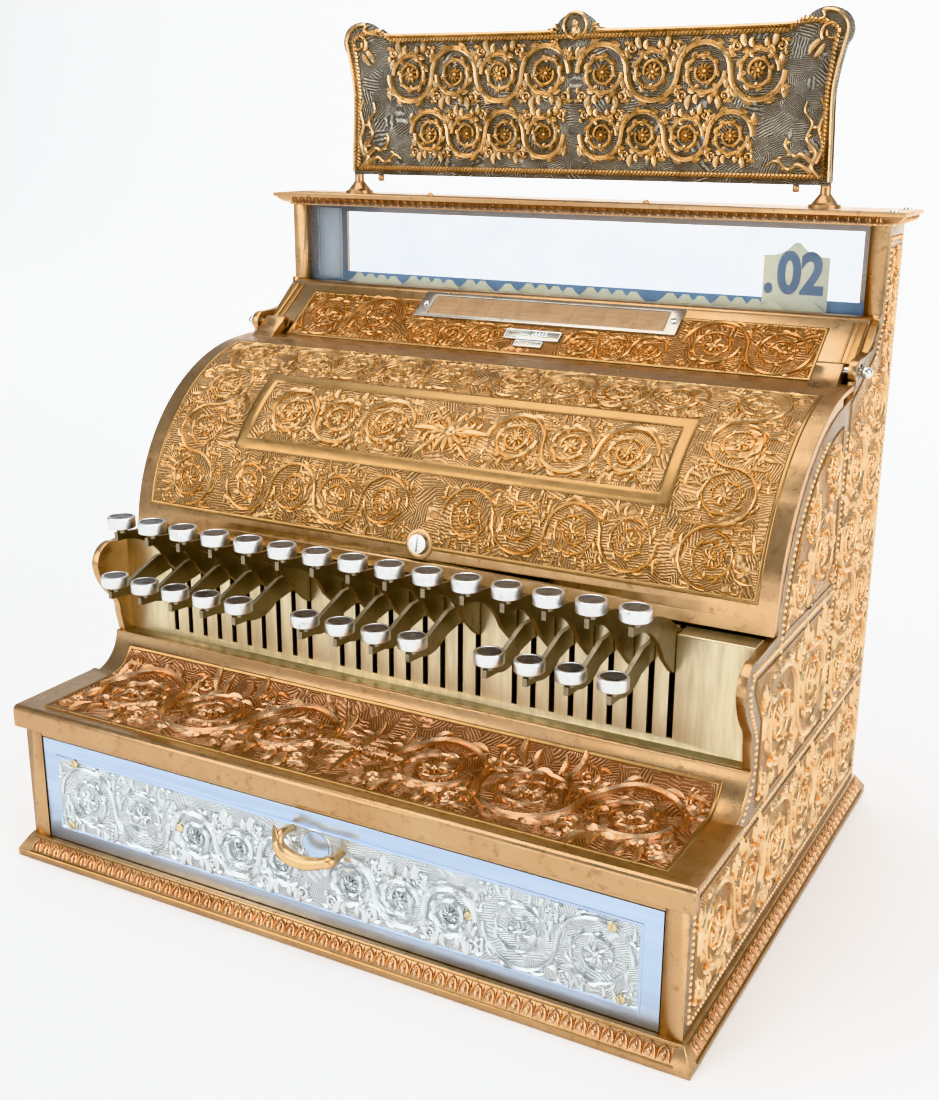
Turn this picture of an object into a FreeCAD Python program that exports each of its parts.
"""Brass counter cash register: cast case, 28 keys, hinged lid, money drawer, indicator and top sign.

Frame: millimetres, +X to the clerk's right, +Y towards the back, +Z up. The origin is on the counter,
at the middle of the whole machine's box. Heights are measured from the counter. In the tables below,
a depth is measured back from the front edge of the plinth, and front_y moves it into the frame.
"""
import math
import os
import re

import FreeCAD
import Part
from FreeCAD import Vector

# ---------------------------------------------------------------- driving dimensions (mm, degrees)
DIMS = {
    "plinth_width": 445.0, "plinth_depth": 350.4, "plinth_height": 13.8, "plinth_rim": 22.0,
    "plinth_slope_in": 6.0, "plinth_slope_up": 9.3,
    "pull_reach": 9.0, "total_height": 511.0,
    "body_half": 214.8, "body_front": 8.7, "body_back": 343.4, "wall": 5.0,
    "post_width": 12.1, "post_thick": 4.3,
    "ledge_half": 219.2, "ledge_front": 3.4, "ledge_top": 101.0, "ledge_low": 87.5,
    "ledge_skin": 3.0, "strip_depth": 91.9, "strip_top": 122.6, "rail_low": 82.2,
    "front_half": 202.0, "front_face": 9.2, "front_thick": 4.0, "front_low": 14.3, "front_high": 81.7,
    "tray_half": 188.0, "tray_back": 305.0, "tray_low": 19.4, "tray_high": 66.0, "tray_wall": 6.0,
    "tray_floor": 4.0, "till_split": 112.0, "cup_radius": 25.0,
    "runner_low": 13.8, "runner_high": 19.0, "runner_width": 16.0,
    "plate_depth": 102.5, "plate_thick": 2.0, "plate_top": 186.5, "slot_low": 127.0,
    "slot_width": 3.4, "flange_end": 117.0,
    "key_first": -171.7, "key_pitch": 11.655, "blade": 2.6, "cap_radius": 8.15, "cap_height": 6.0,
    "cap_well": 6.4, "cap_well_deep": 0.8, "stem_radius": 3.2,
    "upper_cap_depth": 45.8, "upper_cap_top": 218.3, "lower_cap_depth": 49.3, "lower_cap_top": 178.7,
    "shaft_depth": 180.0, "shaft_height": 160.0, "shaft_radius": 3.95, "hub_radius": 8.0,
    "running_gap": 0.05,
    "lid_depth": 240.5, "lid_height": 176.0, "lid_radius": 122.5, "lid_skin": 3.0, "lid_half": 214.3,
    "lid_low_angle": 5.5, "lid_high_angle": 86.0, "lid_top_depth": 249.0, "side_radius": 115.0,
    "hinge_depth": 257.0, "hinge_height": 306.0, "knuckle_radius": 4.5, "knuckle_in": 190.0,
    "knuckle_out": 206.0, "pin_radius": 2.4, "pin_head": 3.6, "nose_radius": 7.0,
    "lock_angle": 14.0, "lock_radius": 5.6, "lock_hole": 5.65, "lock_boss": 9.0,
    "panel_half": 209.6, "panel_skin": 3.0, "notch_back": 264.5,
    "upright_front": 304.3, "upright_width": 11.6, "sill": 332.0, "case_top": 385.4,
    "glass_half": 209.6, "glass_thick": 2.5, "glass_depth": 309.2,
    "rear_window_half": 192.0, "rebate_half": 197.0, "rear_glass_half": 196.8,
    "cornice_half": 225.1, "cornice_front": 294.0, "cornice_back": 344.6, "cornice_high": 393.8,
    "sign_depth": 321.5, "sign_thick": 5.0, "sign_low": 407.0, "sign_high": 508.0,
    "sign_half": 177.0, "sign_waist": 171.0, "foot_side": 169.5, "foot_radius": 10.0,
    "label_half": 95.0, "label_low": 29.5, "label_high": 53.5, "label_thick": 1.8, "label_rim": 9.0,
    "tablet_half": 21.0, "tablet_thick": 0.8, "tablet_plane": 324.5, "tablet_step": 3.0,
    "tablet_raise": 35.5, "tablet_shoulder": 328.5, "tablet_peak": 336.5, "tablet_foot": 286.0,
    "rod_low": 206.0, "rod_half": 1.1,
    "guide_low": 300.0, "guide_high": 337.0, "guide_depth": 327.5, "guide_thick": 1.2,
    "cup_pitch": 59.5, "cup_depth": 64.0, "cup_drop": 10.0, "runner_front": 18.0, "runner_back": 336.0,
    "dish_radius": 16.0, "dish_centre": 12.8, "dish_height": 62.0, "screw_radius": 2.3, "screw_proud": 0.9,
    "spring_outer": 6.2, "spring_inner": 5.0, "spring_long": 6.4,
    "bell_side": -184.0, "bell_depth": 255.0, "bell_low": 222.0, "bell_radius": 20.0,
    "hammer_depth": 229.0, "hammer_height": 200.0, "hammer_side": -203.0, "hammer_reach": 27.0,
    "wheel_radius": 22.0, "wheel_depth": 200.0, "wheel_height": 235.0, "wheel_width": 9.0,
    "wheel_gap": 1.6, "axle_radius": 3.95, "bar_depth": 190.0, "bar_low": 186.0,
}
DIMS["front_y"] = (DIMS["pull_reach"] - DIMS["plinth_depth"]) / 2.0
BAND_LOW = (251.5, 297.7)      # depth and height of the slanted band's lower and upper edges
BAND_HIGH = (295.5, 329.2)
SCREWS = ((-176, 70), (-182, 27), (-96, 48), (96, 48), (176, 66), (182, 27))      # x and height

doc = FreeCAD.newDocument("cash_register")
sheet = doc.addObject("Spreadsheet::Sheet", "Dims")
for row, (alias, value) in enumerate(DIMS.items(), start=1):
    sheet.set(f"A{row}", alias)
    sheet.set(f"B{row}", repr(round(value, 4)))
    sheet.setAlias(f"B{row}", alias)
doc.recompute()


def dim(alias):
    """The number in the cell with this alias."""
    return float(sheet.get(alias))


def bound(text):
    """An expression in which every alias reads its cell."""
    return re.sub(r"[a-z_]+", lambda m: "Dims." + m.group() if m.group() in DIMS else m.group(), str(text))


def bind(obj, prop, text):
    obj.setExpression(prop, bound(text))


def at(obj, x="0", y=None, z="0"):
    """Place an object. A depth y is measured back from the plinth's front edge."""
    bind(obj, ".Placement.Base.x", x)
    bind(obj, ".Placement.Base.y", "front_y" if y is None else f"{y} + front_y")
    bind(obj, ".Placement.Base.z", z)
    return obj


# ---------------------------------------------------------------- building blocks
def block(name, x, y, z):
    """A box between the low and high expressions of each axis."""
    box = doc.addObject("Part::Box", name)
    bind(box, "Length", f"({x[1]}) - ({x[0]})")
    bind(box, "Width", f"({y[1]}) - ({y[0]})")
    bind(box, "Height", f"({z[1]}) - ({z[0]})")
    return at(box, x[0], y[0], z[0])


TURNS = {"z": (Vector(0, 0, 1), 0), "x": (Vector(0, 1, 0), 90), "y": (Vector(1, 0, 0), -90)}


def rod(name, axis, radius, length, x, y, z):
    """A round bar that starts at (x, y, z) and runs along +axis."""
    bar = doc.addObject("Part::Cylinder", name)
    bind(bar, "Radius", radius)
    bind(bar, "Height", length)
    direction, turn = TURNS[axis]
    bar.Placement.Rotation = FreeCAD.Rotation(direction, turn)
    return at(bar, x, y, z)


def ball(name, radius, x, y, z):
    sphere = doc.addObject("Part::Sphere", name)
    bind(sphere, "Radius", radius)
    return at(sphere, x, y, z)


def outline_edges(outline):
    """Edges through a list of points: (a, b) is a straight run, (a, b, c, d) an arc by way of (a, b)."""
    here = Vector(*outline[0], 0)
    edges = []
    steps = list(outline[1:])
    if Vector(*steps[-1][-2:], 0).distanceToPoint(here) > 0.001:
        steps.append(outline[0])
    for step in steps:
        if len(step) == 4:
            there = Vector(step[2], step[3], 0)
            edges.append(Part.Arc(here, Vector(step[0], step[1], 0), there))
        else:
            there = Vector(step[0], step[1], 0)
            edges.append(Part.LineSegment(here, there))
        here = there
    return edges


def slab(name, plane, outline, low, high):
    """A body with one sketched outline, padded between two stations on the plane's normal."""
    body = doc.addObject("PartDesign::Body", name)
    origin_plane = [f for f in body.Origin.OriginFeatures if f.Role == plane][0]
    sketch = body.newObject("Sketcher::SketchObject", name + "_sketch")
    sketch.AttachmentSupport = [(origin_plane, "")]
    sketch.MapMode = "FlatFace"
    sketch.addGeometry(outline_edges(outline), False)
    pad = body.newObject("PartDesign::Pad", name + "_pad")
    pad.Profile = sketch
    if plane == "XZ_Plane":
        # this plane looks towards -Y, so the pad is turned round to run along +Y
        bind(sketch, ".AttachmentOffset.Base.z", f"-({low})")
        pad.Reversed = True
    else:
        bind(sketch, ".AttachmentOffset.Base.z", low)
    bind(pad, "Length", f"({high}) - ({low})")
    return at(body)


def side_slab(name, outline, low, high):
    """A plate whose outline is given in (depth, height), between two X stations."""
    return slab(name, "YZ_Plane", outline, low, high)


def front_slab(name, outline, low, high):
    """A plate whose outline is given in (x, height), between two depths."""
    return slab(name, "XZ_Plane", outline, low, high)


def join(name, *pieces):
    fused = doc.addObject("Part::MultiFuse", name)
    fused.Shapes = list(pieces)
    return fused


def cut(name, base, *tools):
    cutter = tools[0] if len(tools) == 1 else join(name + "_tools", *tools)
    result = doc.addObject("Part::Cut", name)
    result.Base = base
    result.Tool = cutter
    return result


def group(name, *pieces):
    """Separate solids that share one node."""
    together = doc.addObject("Part::Compound", name)
    together.Links = list(pieces)
    return together


NODES = {}


def node(label, obj):
    """Name a finished sub-part; its label is also its file's name."""
    obj.Label = label
    NODES[label] = obj
    return obj


def on_circle(depth, height, radius, angle):
    """A point on a circle in the side view; 0 degrees faces the front and 90 is straight up."""
    turn = math.radians(angle)
    return (depth - radius * math.cos(turn), height + radius * math.sin(turn))


def lid_point(radius, angle):
    return on_circle(dim("lid_depth"), dim("lid_height"), radius, angle)


# ---------------------------------------------------------------- plinth and case
def build_plinth():
    blank = block("plinth_blank", ("-plinth_width/2", "plinth_width/2"), ("0", "plinth_depth"),
                  ("0", "plinth_height"))
    doc.recompute()
    top = dim("plinth_height")
    edges = []
    for index, edge in enumerate(blank.Shape.Edges, start=1):
        if all(abs(v.Point.z - top) < 0.01 for v in edge.Vertexes):
            edges.append((index, dim("plinth_slope_in"), dim("plinth_slope_up")))
    sloped = doc.addObject("Part::Chamfer", "plinth_sloped")
    sloped.Base = blank
    sloped.Edges = edges
    doc.recompute()
    box = sloped.Shape.BoundBox
    crown = max(f.BoundBox.XLength for f in sloped.Shape.Faces if abs(f.BoundBox.ZMin - top) < 0.01)
    if abs(crown - (box.XLength - 2 * dim("plinth_slope_in"))) > 0.01:
        sloped.Edges = [(index, up, along) for index, along, up in edges]
    opening = block("plinth_opening", ("-plinth_width/2 + plinth_rim", "plinth_width/2 - plinth_rim"),
                    ("plinth_rim", "plinth_depth - plinth_rim"), ("-1", "plinth_height + 1"))
    node("plinth", cut("plinth", sloped, opening))
    node("base_pan", block("base_pan", ("-plinth_width/2 + plinth_rim", "plinth_width/2 - plinth_rim"),
                           ("plinth_rim", "plinth_depth - plinth_rim"),
                           ("plinth_height - 2.2", "plinth_height - 0.2")))


def side_outline():
    """The casting's edge: drawer front, key cheek, lid seat, hinge nose and window upright."""
    back, top = dim("body_back"), dim("case_top")
    sill = dim("sill") + 1.5
    skin_back = dim("strip_depth") + dim("ledge_skin")
    seat_low = lid_point(dim("side_radius"), 5.0)
    seat_mid = lid_point(dim("side_radius"), 45.0)
    seat_high = lid_point(dim("side_radius"), 84.0)
    nose = dim("hinge_depth"), dim("hinge_height"), dim("nose_radius")
    nose_front = on_circle(*nose, 15.0)
    return [
        (dim("body_front"), dim("plinth_height")), (back, dim("plinth_height")), (back, top),
        (dim("upright_front"), top), (dim("upright_front"), sill), (300.5, sill),
        (295.5, 320.0, 283.5, 314.6), (272.0, 313.2), (nose[0], nose[1] + nose[2]),
        (*nose_front, *on_circle(*nose, -50.0)), (249.5, 293.5), seat_high, (*seat_mid, *seat_low),
        (114.0, 185.7), (92.0, 184.2), (79.0, 181.2, 74.6, 170.0), (78.6, 159.0, 87.4, 148.0),
        (91.0, 143.0, 92.0, 136.0), (skin_back, dim("strip_top")), (skin_back, 118.0),
        (86.5, 103.5, 71.0, 98.0), (dim("body_front"), 98.0),
    ]


def build_sides():
    for side, sign in (("left", -1), ("right", 1)):
        outer, inner = f"{sign} * body_half", f"{sign} * (body_half - wall)"
        low, high = (outer, inner) if sign < 0 else (inner, outer)
        web = side_slab(f"side_{side}_web", side_outline(), low, high)
        post_in = f"{sign} * (body_half - post_width)"
        post_x = (low, post_in) if sign < 0 else (post_in, high)
        post = block(f"side_{side}_post", post_x, ("body_front", "body_front + post_thick"),
                     ("plinth_height", "98"))
        upright_in = f"{sign} * (body_half - upright_width)"
        upright_x = (low, upright_in) if sign < 0 else (upright_in, high)
        upright = block(f"side_{side}_upright", upright_x, ("upright_front", "upright_front + 4.6"),
                        ("sill + 0.1", "case_top"))
        casting = join(f"side_{side}_casting", web, post, upright)
        hole = rod(f"side_{side}_hinge_hole", "x", "pin_radius + running_gap", "wall + 20",
                   f"{low} - 10", "hinge_depth", "hinge_height")
        node(f"side_panel_{side}", cut(f"side_panel_{side}", casting, hole))


def build_back_and_top():
    back = block("back_blank", ("-body_half + wall", "body_half - wall"), ("body_back - 5", "body_back"),
                 ("plinth_height", "case_top"))
    window = block("back_window", ("-rear_window_half", "rear_window_half"),
                   ("body_back - 9", "body_back + 4"), ("sill + 2", "case_top - 6"))
    rebate = block("back_rebate", ("-rebate_half", "rebate_half"), ("body_back - 6", "body_back - 3"),
                   ("sill - 3", "case_top - 1"))
    node("back_panel", cut("back_panel", back, window, rebate))
    node("rear_glass", block("rear_glass", ("-rear_glass_half", "rear_glass_half"),
                             ("body_back - 5", "body_back - 3"), ("sill - 3", "case_top - 1")))
    node("front_glass", block("front_glass", ("-glass_half", "glass_half"),
                              ("glass_depth", "glass_depth + glass_thick"), ("sill + 0.2", "case_top")))
    half, front = dim("cornice_half"), dim("cornice_front")
    low, high = dim("case_top"), dim("cornice_high")
    eave = high - 2.6
    crown = block("cornice_slab", ("-cornice_half", "cornice_half"), ("cornice_front", "cornice_back"),
                  ("cornice_high - 2.6", "cornice_high"))
    inset = half - dim("body_half") - 1.7
    hollow = half - inset / 2.6
    cove = front_slab("cornice_cove", [
        (-half + inset, low), (half - inset, low), (half - inset, low + 1.2),
        (hollow, eave - 2.2, half - 1.5, eave),
        (-half + 1.5, eave), (-hollow, eave - 2.2, -half + inset, low + 1.2)],
        "cornice_front + 1.5", "cornice_back - 1.2")
    lap = dim("upright_front") - front - 1.7
    trim = side_slab("cornice_trim", [(front - 5, low - 1), (front + lap, low - 1), (front + lap, low + 1.2),
                                      (front + lap / 2.6, eave - 2.2, front + 1.5, eave), (front - 5, eave)],
                     "-cornice_half - 5", "cornice_half + 5")
    node("cornice", join("cornice", crown, cut("cornice_front_cove", cove, trim)))
    # the slanted band between the lid and the window
    skin = dim("panel_skin")
    sill = dim("sill")
    band = side_slab("upper_band", [
        BAND_LOW, BAND_HIGH, (298.0, sill - 0.1, 301.0, sill), (308.9, sill), (308.9, sill - skin),
        (299.5, sill - skin), (297.3, 326.0), (253.5, 295.3)], "-panel_half", "panel_half")
    notches = [block(f"band_notch_{i}", (low_x, high_x), ("240", "notch_back"), ("290", "330"))
               for i, (low_x, high_x) in enumerate((("-panel_half - 1", "-knuckle_in + 2"),
                                                    ("knuckle_in - 2", "panel_half + 1")))]
    node("upper_panel", cut("upper_panel", band, *notches))
    label_frame = doc.addObject("Part::Feature", "label_holder")
    label_frame.Shape = label_shape()
    node("label_holder", label_frame)


def on_band(along):
    """A point on the slanted band, at a distance up its slope from its lower edge."""
    rise = math.atan2(BAND_HIGH[1] - BAND_LOW[1], BAND_HIGH[0] - BAND_LOW[0])
    return BAND_LOW[0] + along * math.cos(rise), BAND_LOW[1] + along * math.sin(rise), rise


def label_shape():
    """A flat nickel card holder with a sunk window, and the two small plates screwed below it."""
    def plate(half, low, high, thick):
        depth, height, rise = on_band(low)
        shape = Part.makeBox(2 * half, high - low, thick, Vector(-half, 0, 0))
        shape.rotate(Vector(0, 0, 0), Vector(1, 0, 0), math.degrees(rise))
        shape.translate(Vector(0, depth + dim("front_y"), height))
        return shape
    half, low, high, thick = dim("label_half"), dim("label_low"), dim("label_high"), dim("label_thick")
    sunk = plate(half - dim("label_rim"), low + 3.0, high - 3.0, thick)
    rise = on_band(0)[2]
    sunk.translate(Vector(0, -math.sin(rise), math.cos(rise)) * thick / 2)
    holder = plate(half, low, high, thick).cut(sunk)
    return Part.makeCompound([holder, plate(20.0, 15.0, 24.0, 1.0), plate(10.0, 8.5, 14.0, 1.0)])


def build_ledge():
    front, low, top = dim("ledge_front"), dim("ledge_low"), dim("ledge_top")
    strip, strip_top = dim("strip_depth"), dim("strip_top")
    skin = dim("ledge_skin")
    shelf = side_slab("ledge_top_skin", [
        (front, low), (front, top - 3.5), (front + 1.0, top - 1.0, front + 4.0, top), (68.0, top),
        (84.5, 107.0, strip, strip_top), (strip + skin, strip_top), (strip + skin, 118.0),
        (86.5, 103.5, 71.0, top - skin), (dim("body_front"), top - skin), (dim("body_front"), low)],
        "-ledge_half", "ledge_half")
    ends = (("-ledge_half - 1", "-body_half"), ("body_half", "ledge_half + 1"))
    sides = [block(f"ledge_relief_{i}", (low_x, high_x), ("strip_depth - 18", "strip_depth + 20"),
                   ("ledge_low", "200")) for i, (low_x, high_x) in enumerate(ends)]
    skin_cut = cut("ledge_skin_cut", shelf, *sides)
    rail = block("ledge_rail", ("-body_half + post_width", "body_half - post_width"),
                 ("body_front", "body_front + post_thick"), ("rail_low", "98"))
    node("ledge", join("ledge", skin_cut, rail))


# ---------------------------------------------------------------- keyboard
UPPER_ROW = [i for i in range(1, 30, 2)]
LOWER_ROW = [i for i in range(0, 29, 2) if i not in (10, 20)]


def build_key_plate():
    depth, thick, top = dim("plate_depth"), dim("plate_thick"), dim("plate_top")
    shelf_top = dim("strip_top")
    shelf_front = dim("strip_depth") + dim("ledge_skin")
    folded = side_slab("key_plate_folded", [
        (shelf_front, shelf_top - thick), (depth + thick, shelf_top - thick), (depth + thick, top - thick),
        (dim("flange_end"), top - thick), (dim("flange_end"), top), (depth + 1.0, top),
        (depth + 0.3, top - 0.3, depth, top - 1.0), (depth, shelf_top), (shelf_front, shelf_top)],
        "-body_half + wall", "body_half - wall")
    slots = []
    for position in sorted(UPPER_ROW + LOWER_ROW):
        middle = f"key_first + {position} * key_pitch"
        slots.append(block(f"slot_{position:02d}", (f"{middle} - slot_width/2", f"{middle} + slot_width/2"),
                           ("plate_depth - 1", "flange_end + 1"), ("slot_low", "plate_top + 1")))
    node("key_plate", cut("key_plate", folded, *slots))


def lever_outline(upper):
    """A flat lever: cap end, bent arm, straight tail through the hub, and the tail under the tablet rods."""
    hub_y, hub_z, hub = dim("shaft_depth"), dim("shaft_height"), dim("hub_radius")
    tail_low, tail_high, tail_end = hub_z - 3.0, hub_z + 4.5, 328.0
    hub_top = (*on_circle(hub_y, hub_z, hub, 90.0), hub_y + 7.0, tail_high)
    hub_bottom = on_circle(hub_y, hub_z, hub, -90.0)
    rear = [(tail_end, tail_high), (tail_end, tail_low), (hub_y + 7.4, tail_low),
            (*hub_bottom, hub_y - 7.4, tail_low)]
    if upper:
        front = [(40.5, 205.0), (40.5, 210.0), (66.0, 206.8), (85.0, 201.2, 103.0, 190.4), (116.0, 184.8),
                 (136.0, 174.0), (hub_y - 7.4, hub_z + 3.0)]
        under = [(112.0, 159.0), (98.0, 167.0), (85.0, 178.5), (69.0, 196.0, 46.0, 204.6)]
    else:
        front = [(44.0, 165.6), (44.0, 170.2), (56.0, 170.4), (71.0, 176.2, 87.0, 181.6), (103.0, 181.4),
                 (116.0, 178.6), (136.0, 172.0), (hub_y - 7.4, hub_z + 3.0)]
        under = [(112.0, 164.5), (100.0, 170.4), (84.0, 168.0), (70.0, 162.8, 57.0, 164.6)]
    return front + [hub_top] + rear + under


def build_keys():
    for number, position in enumerate(sorted(UPPER_ROW + LOWER_ROW), start=1):
        upper = position in UPPER_ROW
        name = f"key_{number:02d}"
        middle = f"key_first + {position} * key_pitch"
        row = "upper" if upper else "lower"
        arm_top = 210.0 - 1.0 if upper else 170.2 - 0.8
        blade = side_slab(name + "_blade", lever_outline(upper), f"{middle} - blade/2", f"{middle} + blade/2")
        bore = rod(name + "_bore", "x", "shaft_radius + running_gap", "blade + 2", f"{middle} - blade/2 - 1",
                   "shaft_depth", "shaft_height")
        stem = rod(name + "_stem", "z", "stem_radius", f"{row}_cap_top - cap_height - {arm_top}", middle,
                   f"{row}_cap_depth", f"{arm_top}")
        lever = join(name + "_lever", cut(name + "_bored", blade, bore), stem)
        disc = rod(name + "_disc", "z", "cap_radius", "cap_height", middle, f"{row}_cap_depth",
                   f"{row}_cap_top - cap_height")
        well = rod(name + "_well", "z", "cap_well", "cap_well_deep + 1", middle, f"{row}_cap_depth",
                   f"{row}_cap_top - cap_well_deep")
        face = rod(name + "_face", "z", "cap_well", "cap_well_deep - 0.3", middle, f"{row}_cap_depth",
                   f"{row}_cap_top - cap_well_deep")
        node(name, group(name, lever, cut(name + "_cap", disc, well), face))
    node("key_shaft", rod("key_shaft", "x", "shaft_radius", "2 * (body_half - wall)", "-body_half + wall",
                          "shaft_depth", "shaft_height"))
    springs = []
    for position in sorted(UPPER_ROW + LOWER_ROW):
        start = f"key_first + {position} * key_pitch + blade/2 + 1"
        coil = rod(f"spring_{position:02d}_coil", "x", "spring_outer", "spring_long", start,
                   "shaft_depth", "shaft_height")
        core = rod(f"spring_{position:02d}_core", "x", "spring_inner", "spring_long + 2", f"{start} - 1",
                   "shaft_depth", "shaft_height")
        springs.append(cut(f"spring_{position:02d}", coil, core))
    node("key_springs", group("key_springs", *springs))


# ---------------------------------------------------------------- lid
def arc_band(outer, inner, low_angle, high_angle):
    """The outline between two radii about the lid's centre line."""
    middle = (low_angle + high_angle) / 2.0
    return [lid_point(outer, low_angle), (*lid_point(outer, middle), *lid_point(outer, high_angle)),
            lid_point(inner, high_angle), (*lid_point(inner, middle), *lid_point(inner, low_angle))]


def build_lid():
    radius, skin = dim("lid_radius"), dim("lid_skin")
    low_angle, high_angle = dim("lid_low_angle"), dim("lid_high_angle")
    outer = lid_point(radius, high_angle)
    inner = lid_point(radius - skin, high_angle)
    slope = math.tan(math.radians(90.0 - high_angle))
    end = dim("lid_top_depth")
    middle = (low_angle + high_angle) / 2.0
    shell = side_slab("lid_shell", [
        lid_point(radius, low_angle), (*lid_point(radius, middle), *outer),
        (end, outer[1] + (end - outer[0]) * slope), (end, inner[1] + (end - inner[0]) * slope), inner,
        (*lid_point(radius - skin, middle), *lid_point(radius - skin, low_angle))], "-lid_half", "lid_half")
    pieces = [shell]
    edge = arc_band(radius - skin + 0.2, dim("side_radius") + 0.4, low_angle + 0.6, 83.5)
    knuckles = []
    for side, sign in (("left", -1), ("right", 1)):
        ends = ["lid_half - 4", "lid_half"]
        arms = ["knuckle_in", "knuckle_out"]
        if sign < 0:
            ends = ["-lid_half", "-lid_half + 4"]
            arms = ["-knuckle_out", "-knuckle_in"]
        pieces.append(side_slab(f"lid_{side}_cheek", edge, *ends))
        web = [(238.0, 296.0), (238.0, 298.4), (253.4, 308.4), (259.5, 303.0), (249.0, 296.6)]
        pieces.append(side_slab(f"lid_{side}_web", web, *arms))
        pieces.append(rod(f"lid_{side}_knuckle", "x", "knuckle_radius", "knuckle_out - knuckle_in", arms[0],
                          "hinge_depth", "hinge_height"))
        knuckles.append(rod(f"lid_{side}_bore", "x", "pin_radius + running_gap",
                            "knuckle_out - knuckle_in + 2", arms[0] + " - 1", "hinge_depth", "hinge_height"))
    angle = dim("lock_angle")
    turn = math.radians(angle)
    seat = lid_point(radius - skin - 1.0, angle)
    boss = rod("lid_lock_boss", "z", "lock_boss", "lid_skin + 2.2", "0", repr(seat[0]), repr(seat[1]))
    hole = rod("lid_lock_hole", "z", "lock_hole", "60", "0", repr(seat[0]), repr(seat[1]))
    lean = FreeCAD.Rotation(Vector(1, 0, 0), 90.0 - angle)
    boss.Placement.Rotation = lean
    hole.Placement.Rotation = lean
    back = lid_point(radius - 30.0, angle)
    at(hole, "0", repr(back[0]), repr(back[1]))
    at(boss, "0", repr(seat[0]), repr(seat[1]))
    node("lid", cut("lid", join("lid_casting", *pieces, boss), *knuckles, hole))
    start = lid_point(radius - 12.0, angle)
    plug = rod("lock_plug", "z", "lock_radius", "15.5", "0", repr(start[0]), repr(start[1]))
    cam = block("lock_cam", ("-3", "3"), ("0", "13"), ("0", "1.6"))
    slot = block("lock_slot", ("-0.7", "0.7"), ("0", "9.2"), ("0", "2"))
    plug.Placement.Rotation = lean
    cam.Placement.Rotation = lean
    at(cam, "-3", repr(start[0] - 13.0 * math.sin(turn)), repr(start[1] - 13.0 * math.cos(turn)))
    mouth = lid_point(radius + 2.4, angle)
    slot.Placement.Rotation = lean
    at(slot, "-0.7", repr(mouth[0] - 4.6 * math.sin(turn)), repr(mouth[1] - 4.6 * math.cos(turn)))
    node("lid_lock", cut("lid_lock", join("lock_body", plug, cam), slot))
    pins = []
    for side, sign in (("left", -1), ("right", 1)):
        start_x = "knuckle_in + 4" if sign > 0 else "-body_half - 4"
        shank = rod(f"pin_{side}_shank", "x", "pin_radius", "body_half - knuckle_in", start_x,
                    "hinge_depth", "hinge_height")
        head = ball(f"pin_{side}_head", "pin_head", f"{sign} * (body_half + 4)",
                    "hinge_depth", "hinge_height")
        head.Placement.Rotation = FreeCAD.Rotation(Vector(0, 1, 0), 90.0)
        pins.append(join(f"pin_{side}", shank, head))
    node("hinge_pins", group("hinge_pins", *pins))


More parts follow.
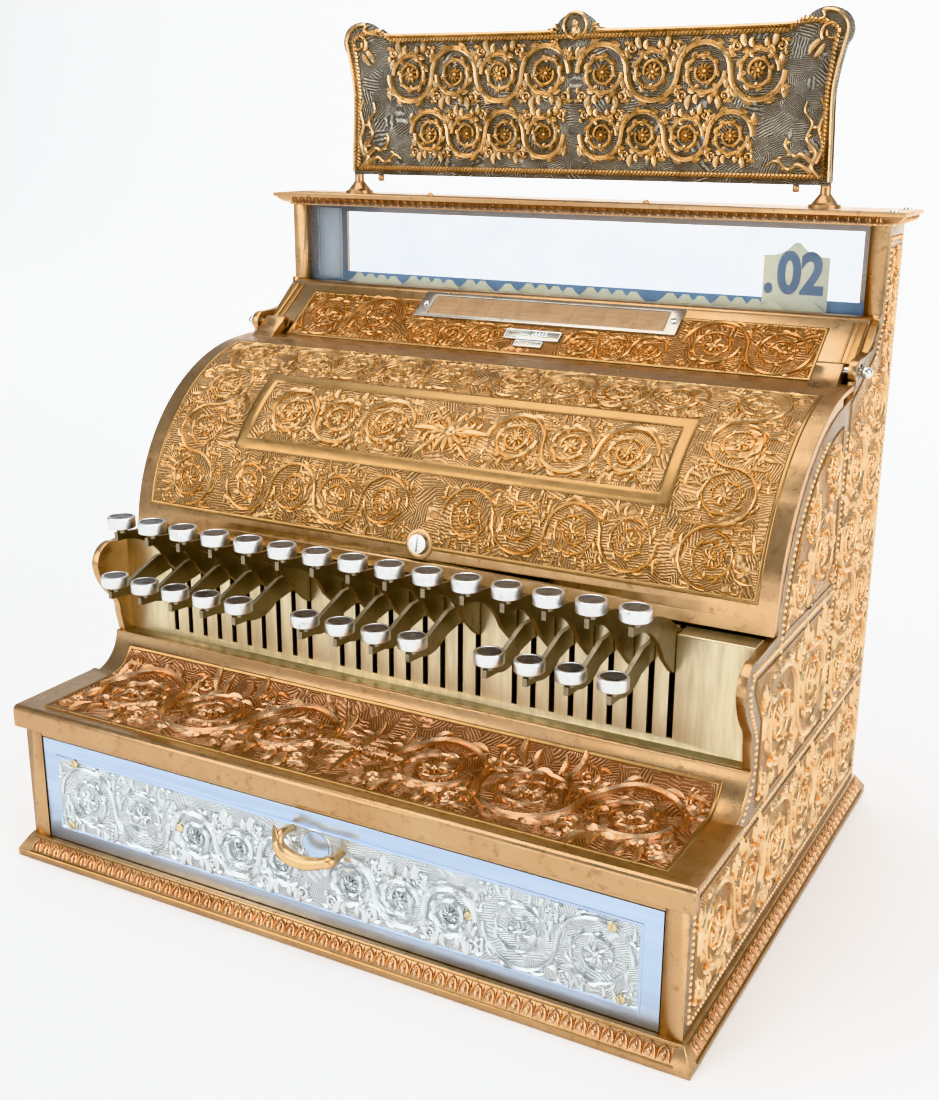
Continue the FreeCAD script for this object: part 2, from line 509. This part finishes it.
# ---------------------------------------------------------------- drawer
def build_drawer():
    plate = block("drawer_plate", ("-front_half", "front_half"), ("front_face", "front_face + front_thick"),
                  ("front_low", "front_high"))
    dish = ball("drawer_dish", "dish_radius", "0", "front_face - dish_centre", "dish_height")
    node("drawer_front", cut("drawer_front", plate, dish))
    shell = block("tray_shell", ("-tray_half", "tray_half"), ("front_face + front_thick", "tray_back"),
                  ("tray_low", "tray_high"))
    back_bay = ("till_split + tray_wall/2", "tray_back - tray_wall")
    hollows = [block("tray_front_bay", ("-tray_half + tray_wall", "tray_half - tray_wall"),
                     ("front_face + front_thick + tray_wall", "till_split - tray_wall/2"),
                     ("tray_low + tray_floor", "tray_high + 1"))]
    for bay in range(5):
        low = f"-tray_half + tray_wall + {bay} * (2 * tray_half - tray_wall) / 5"
        high = f"-tray_half + {bay + 1} * (2 * tray_half - tray_wall) / 5"
        hollows.append(block(f"tray_bay_{bay + 1}", (low, high), back_bay,
                             ("tray_low + tray_floor", "tray_high + 1")))
    node("drawer_tray", cut("drawer_tray", shell, *hollows))
    slab_cups = block("cup_block", ("-tray_half + tray_wall + 0.5", "tray_half - tray_wall - 0.5"),
                      ("front_face + front_thick + tray_wall + 0.5", "till_split - tray_wall/2 - 0.5"),
                      ("tray_low + tray_floor", "tray_high - cup_drop"))
    bowls = []
    for cup in range(6):
        middle = f"({cup} - 2.5) * cup_pitch"
        bowls.append(ball(f"cup_bowl_{cup + 1}", "cup_radius", middle, "cup_depth",
                          "tray_high - cup_drop + 1"))
    node("coin_cups", cut("coin_cups", slab_cups, *bowls))
    runners = []
    along = ("runner_front", "runner_back")
    for side, sign in (("left", -1), ("right", 1)):
        inner, outer = f"{sign} * (tray_half - 6)", f"{sign} * (tray_half - 6 + runner_width)"
        low, high = (outer, inner) if sign < 0 else (inner, outer)
        runners.append(block(f"runner_{side}", (low, high), along, ("runner_low", "runner_high")))
        rim_low, rim_high = (outer, f"{outer} + 5") if sign < 0 else (f"{outer} - 5", outer)
        runners.append(block(f"runner_{side}_rim", (rim_low, rim_high), along,
                             ("runner_high", "runner_high + 9")))
    node("drawer_runners", group("drawer_runners", join("runners_left", *runners[:2]),
                                 join("runners_right", *runners[2:])))
    screws = []
    for count, (x, z) in enumerate(SCREWS, start=1):
        screws.append(rod(f"drawer_screw_{count}", "y", "screw_radius", "screw_proud", str(x),
                          "front_face - screw_proud", str(z)))
    node("drawer_screws", group("drawer_screws", *screws))
    # a crescent pull on two feet, with finger room above it
    crescent = front_slab("pull_crescent", [
        (-19.0, 70.5), (-17.0, 61.0, -7.0, 57.0), (1.0, 55.4, 9.0, 57.6), (14.0, 59.4, 19.5, 60.0),
        (19.0, 66.0), (10.0, 65.2, 3.0, 62.6), (-8.0, 62.4, -13.0, 71.5)],
        "front_face - 18.2", "front_face - 10.6")
    feet = [rod("pull_foot_left", "y", "2.4", "11", "-14.6", "front_face - 11", "66.0"),
            rod("pull_foot_right", "y", "2.4", "11", "16.0", "front_face - 11", "62.8")]
    node("drawer_pull", join("drawer_pull", crescent, *feet))


# ---------------------------------------------------------------- indicator
def tablet_shape(position, lift):
    """A peaked number tablet on its thin rod."""
    middle = dim("key_first") + position * dim("key_pitch")
    half, shoulder, peak = dim("tablet_half"), dim("tablet_shoulder") + lift, dim("tablet_peak") + lift
    foot, low = dim("tablet_foot") + lift, dim("rod_low") + lift
    slim = dim("rod_half")
    depth = dim("tablet_plane") - (position % 4) * dim("tablet_step")
    points = [(-half, foot), (-slim, foot), (-slim, low), (slim, low), (slim, foot), (half, foot),
              (half, shoulder), (half * 0.42, shoulder + 2.2, 2.0, peak), (-2.0, peak),
              (-half * 0.42, shoulder + 2.2, -half, shoulder)]
    edges = [e.toShape() for e in outline_edges(points)]
    wire = Part.Wire(edges)
    face = Part.Face(wire)
    solid = face.extrude(Vector(0, 0, dim("tablet_thick")))
    solid.rotate(Vector(0, 0, 0), Vector(1, 0, 0), 90)
    solid.translate(Vector(middle, depth + dim("tablet_thick") + dim("front_y"), 0))
    return solid


RAISED = 28      # the position of the key whose tablet is up


def build_indicator():
    raised = doc.addObject("Part::Feature", "tablet_raised")
    raised.Shape = tablet_shape(RAISED, dim("tablet_raise"))
    node("tablet_raised", raised)
    resting = doc.addObject("Part::Feature", "tablets_resting")
    down = [position for position in sorted(UPPER_ROW + LOWER_ROW) if position != RAISED]
    resting.Shape = Part.makeCompound([tablet_shape(position, 0.0) for position in down])
    node("tablets_resting", resting)
    node("tablet_guide", block("tablet_guide", ("-glass_half", "glass_half"),
                               ("guide_depth", "guide_depth + guide_thick"), ("guide_low", "guide_high")))


# ---------------------------------------------------------------- bell and counter
def build_bell():
    dome = ball("bell_dome", "bell_radius", "bell_side", "bell_depth", "bell_low")
    hollow = ball("bell_hollow", "bell_radius - 2", "bell_side", "bell_depth", "bell_low")
    half_space = block("bell_lower_half", ("bell_side - 40", "bell_side + 40"),
                       ("bell_depth - 40", "bell_depth + 40"), ("bell_low - 60", "bell_low"))
    gong = cut("bell_gong", dome, hollow, half_space)
    stem = rod("bell_stem", "z", "2.5", "12", "bell_side", "bell_depth", "bell_low + bell_radius - 1.5")
    arm = block("bell_arm", ("-body_half + wall", "bell_side + 4"), ("bell_depth - 5", "bell_depth + 5"),
                ("bell_low + bell_radius + 6", "bell_low + bell_radius + 9"))
    pivot = rod("hammer_pivot", "x", "2", "16", "-body_half + wall", "hammer_depth", "hammer_height")
    node("bell", group("bell", join("bell_fixture", gong, stem, arm), pivot))
    hub = rod("hammer_hub", "x", "4.2", "5", "hammer_side", "hammer_depth", "hammer_height")
    shank = block("hammer_shank", ("hammer_side + 1.4", "hammer_side + 3.6"),
                  ("hammer_depth - 1.6", "hammer_depth + 1.6"),
                  ("hammer_height + 3", "hammer_height + hammer_reach"))
    head = rod("hammer_head", "x", "3.6", "20", "hammer_side", "hammer_depth + 1",
               "hammer_height + hammer_reach")
    eye = rod("hammer_eye", "x", "2 + running_gap", "7", "hammer_side - 1", "hammer_depth", "hammer_height")
    node("bell_hammer", cut("bell_hammer", join("hammer_forging", hub, shank, head), eye))


def build_counter():
    drums = [rod(f"counter_drum_{i + 1}", "x", "wheel_radius", "wheel_width",
                 f"({i} - 3.5) * (wheel_width + wheel_gap)", "wheel_depth", "wheel_height") for i in range(7)]
    axle = rod("counter_axle", "x", "axle_radius", "100", "-52", "wheel_depth", "wheel_height")
    node("counter_wheels", join("counter_wheels", *drums, axle))
    cheek = [(190.0, 186.0), (212.0, 186.0), (212.0, 196.0), (206.0, 240.0), (200.0, 246.0, 194.0, 240.0),
             (190.0, 196.0)]
    cheeks = [side_slab(f"counter_plate_{i}", cheek, str(middle), f"{middle} + 3")
              for i, middle in enumerate((-47.0, 43.5))]
    bar = block("counter_bar", ("-body_half + wall", "body_half - wall"), ("bar_depth", "bar_depth + 22"),
                ("bar_low", "bar_low + 4"))
    hole = rod("counter_hole", "x", "axle_radius + running_gap", "120", "-60", "wheel_depth", "wheel_height")
    node("counter_frame", cut("counter_frame", join("counter_frame_casting", *cheeks, bar), hole))


# ---------------------------------------------------------------- sign
def build_sign():
    half, waist = dim("sign_half"), dim("sign_waist")
    low, high, crest = dim("sign_low"), dim("sign_high"), dim("total_height")
    dip = high - 7.5
    plate = front_slab("sign_plate", [
        (-172.0, low), (172.0, low), (173.2, low + 3.0), (waist, low + 53.0, half - 1.0, high - 20.0),
        (half + 2.0, high - 9.0, half - 4.5, high - 0.5), (half - 15.0, high + 1.5, half - 28.0, dip + 1.0),
        (26.0, dip), (17.0, dip + 1.0, 12.0, crest - 5.0), (0.0, crest, -12.0, crest - 5.0),
        (-17.0, dip + 1.0, -26.0, dip), (-half + 28.0, dip + 1.0),
        (-half + 15.0, high + 1.5, -half + 4.5, high - 0.5),
        (-half - 2.0, high - 9.0, -half + 1.0, high - 20.0), (-waist, low + 53.0, -173.2, low + 3.0)],
        "sign_depth", "sign_depth + sign_thick")
    node("sign_plate", plate)
    posts = []
    for side, sign in (("left", -1), ("right", 1)):
        x = f"{sign} * foot_side"
        flange = rod(f"post_{side}_flange", "z", "foot_radius", "2", x, "sign_depth + sign_thick/2",
                     "cornice_high")
        bead = doc.addObject("Part::Cone", f"post_{side}_bead")
        bind(bead, "Radius1", "foot_radius - 1.5")
        bind(bead, "Radius2", "3.4")
        bead.Height = 6.5
        at(bead, x, "sign_depth + sign_thick/2", "cornice_high + 2")
        neck = rod(f"post_{side}_neck", "z", "3.4", "sign_low - cornice_high - 8.5", x,
                   "sign_depth + sign_thick/2", "cornice_high + 8.5")
        posts.append(join(f"post_{side}", flange, bead, neck))
    node("sign_posts", group("sign_posts", *posts))


# ---------------------------------------------------------------- make, check and write
for build in (build_plinth, build_sides, build_back_and_top, build_ledge, build_key_plate, build_keys,
              build_lid, build_drawer, build_indicator, build_bell, build_counter, build_sign):
    build()
doc.recompute()

for thing in doc.Objects:
    if "Invalid" in thing.State or "Error" in thing.State:
        raise RuntimeError(f"{thing.Name} failed: {thing.State}")
for label, thing in NODES.items():
    if thing.Shape.isNull() or not thing.Shape.isValid():
        raise RuntimeError(f"{label} has no valid shape")

os.makedirs("parts", exist_ok=True)
whole = FreeCAD.BoundBox()
for label, thing in NODES.items():
    thing.Shape.exportStep(f"parts/{label}.step")
    whole.add(thing.Shape.BoundBox)
print(f"{len(NODES)} nodes, box {whole.XMin:.2f} {whole.YMin:.2f} {whole.ZMin:.2f}"
      f" to {whole.XMax:.2f} {whole.YMax:.2f} {whole.ZMax:.2f}")
